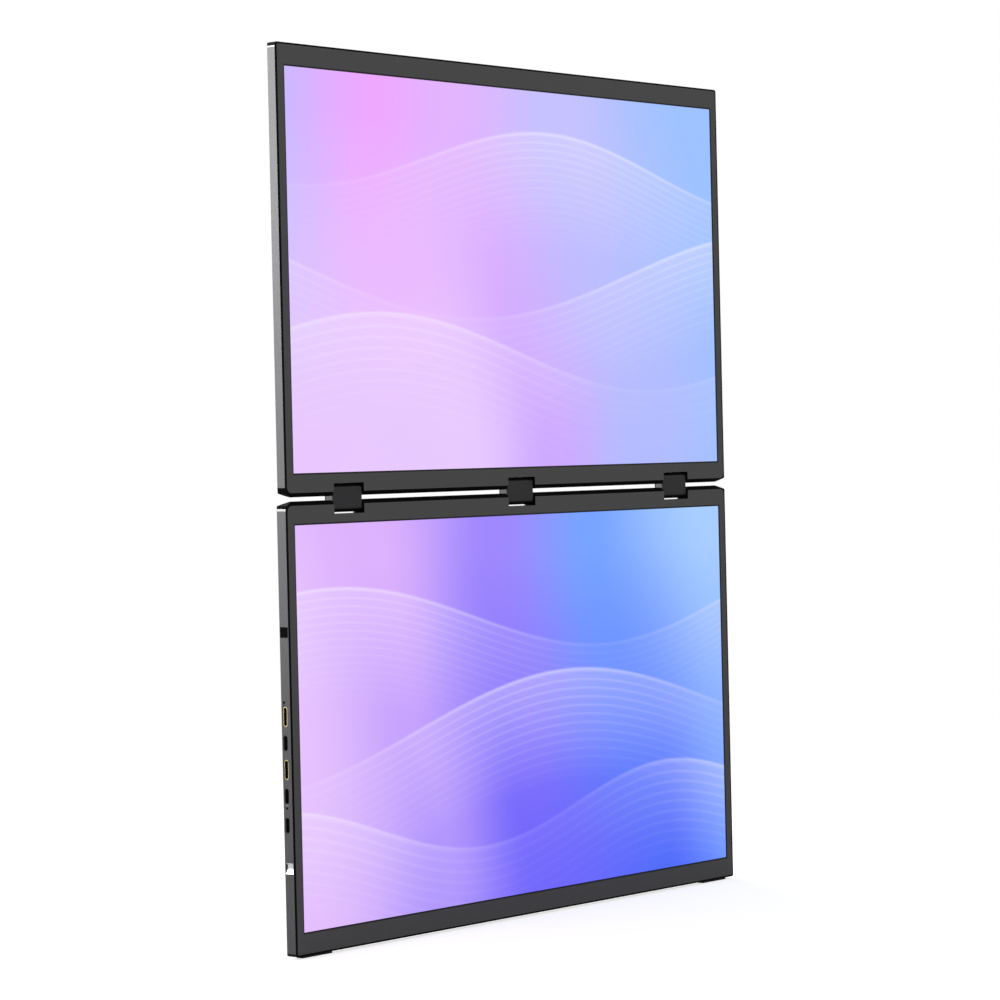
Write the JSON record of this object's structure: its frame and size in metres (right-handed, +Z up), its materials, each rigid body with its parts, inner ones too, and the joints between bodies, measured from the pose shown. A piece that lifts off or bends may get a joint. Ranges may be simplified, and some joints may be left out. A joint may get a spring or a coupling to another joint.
{
  "type": "stacked portable monitor",
  "caption": "Thin folding screen extender: one panel above the other on two-axis friction hinge blocks, with edge sockets and a rear kickstand.",
  "frame": {"origin": "middle of the bounding box's bottom face, on the surface that the feet stand on", "axes": "+Z up along the two panels, the screens face -Y, +X to the right for someone who looks at the screens"},
  "size_m": [0.425, 0.009, 0.5182],
  "materials": {
    "cover_metal": "dark grey metallic finish, satin",
    "black_plastic": "black, faint sheen",
    "bezel_sheet": "dark grey, fine matte texture",
    "screen_glass": "lit screen with a soft violet to blue pattern, satin front",
    "light_guide": "clear white",
    "lamp_strip": "white and yellow",
    "tray_steel": "bare sheet",
    "circuit_board": "green solder mask",
    "part_plastic": "black",
    "hinge_steel": "ground",
    "disc_bronze": "sintered bronze, oiled",
    "black_screw": "black zinc",
    "cable_jacket": "black jacket",
    "ribbon_film": "off white film",
    "socket_steel": "plated, bright",
    "socket_gold": "gold plated",
    "rubber": "black",
    "polished_insert": "polished",
    "sleeve_paint": "near black, satin",
    "stand_metal": "dark grey metallic finish, satin",
    "key_plastic": "black"
  },
  "bodies": {
    "lower_panel": {"lower_rear_cover": "cover_metal", "lower_hinge_rail": "black_plastic", "lower_mid_frame": "black_plastic", "lower_bezel": "bezel_sheet", "lower_lcd_cell": "screen_glass", "lower_light_guide": "light_guide", "lower_led_bar": "lamp_strip", "lower_module_tray": "tray_steel", "lower_driver_board": "circuit_board", "lower_hinge_brackets": "hinge_steel", "lower_hinge_shafts": "hinge_steel", "lower_friction_discs": "disc_bronze", "lower_cable_barrel": "hinge_steel", "lower_bracket_screws": "hinge_steel", "lower_cover_screws": "black_screw", "lower_cable": "cable_jacket", "main_board": "circuit_board", "board_screws": "hinge_steel", "board_chips": "part_plastic", "shield_can": "tray_steel", "usb_c_shells": "socket_steel", "mini_hdmi_shells": "socket_gold", "socket_tongues": "part_plastic", "speakers": "part_plastic", "display_ribbon": "ribbon_film", "key_board": "circuit_board", "feet": "rubber", "pivot_housings": "black_plastic", "pivot_pins": "hinge_steel", "grip_inserts": "polished_insert"},
    "hinge_blocks": {"left_hinge_sleeve": "sleeve_paint", "middle_hinge_sleeve": "sleeve_paint", "right_hinge_sleeve": "sleeve_paint", "left_friction_pack": "hinge_steel", "middle_end_plates": "hinge_steel", "right_friction_pack": "hinge_steel", "link_cable": "cable_jacket"},
    "upper_panel": {"upper_rear_cover": "cover_metal", "upper_hinge_rail": "black_plastic", "upper_mid_frame": "black_plastic", "upper_bezel": "bezel_sheet", "upper_lcd_cell": "screen_glass", "upper_light_guide": "light_guide", "upper_led_bar": "lamp_strip", "upper_module_tray": "tray_steel", "upper_driver_board": "circuit_board", "upper_hinge_brackets": "hinge_steel", "upper_hinge_shafts": "hinge_steel", "upper_friction_discs": "disc_bronze", "upper_cable_barrel": "hinge_steel", "upper_bracket_screws": "hinge_steel", "upper_cover_screws": "black_screw", "upper_cable": "cable_jacket"},
    "kickstand": {"kickstand_plate": "stand_metal", "kickstand_arms": "hinge_steel", "kickstand_screws": "hinge_steel", "kickstand_edge_strip": "rubber"},
    "power_key": {"power_key": "key_plastic"},
    "plus_key": {"plus_key": "key_plastic"},
    "minus_key": {"minus_key": "key_plastic"}
  },
  "joints": [
    {"name": "lower_fold", "type": "hinge", "parent": "lower_panel", "child": "hinge_blocks", "pos_m": [0, 0.00015, 0.25475], "axis": [1, 0, 0], "range_deg": [-90, 90]},
    {"name": "upper_fold", "type": "hinge", "parent": "hinge_blocks", "child": "upper_panel", "pos_m": [0, 0.00015, 0.26475], "axis": [1, 0, 0], "range_deg": [-90, 90]},
    {"name": "kickstand_hinge", "type": "hinge", "parent": "lower_panel", "child": "kickstand", "pos_m": [0, 0.0005, 0.18475], "axis": [1, 0, 0], "range_deg": [0, 70]},
    {"name": "power_key_press", "type": "slide", "parent": "lower_panel", "child": "power_key", "axis": [-1, 0, 0], "range_m": [0, 0.0004], "stiffness_N_per_m": 2000, "springref_m": -0.0004},
    {"name": "plus_key_press", "type": "slide", "parent": "lower_panel", "child": "plus_key", "axis": [-1, 0, 0], "range_m": [0, 0.0004], "stiffness_N_per_m": 2000, "springref_m": -0.0004},
    {"name": "minus_key_press", "type": "slide", "parent": "lower_panel", "child": "minus_key", "axis": [-1, 0, 0], "range_m": [0, 0.0004], "stiffness_N_per_m": 2000, "springref_m": -0.0004}
  ]
}
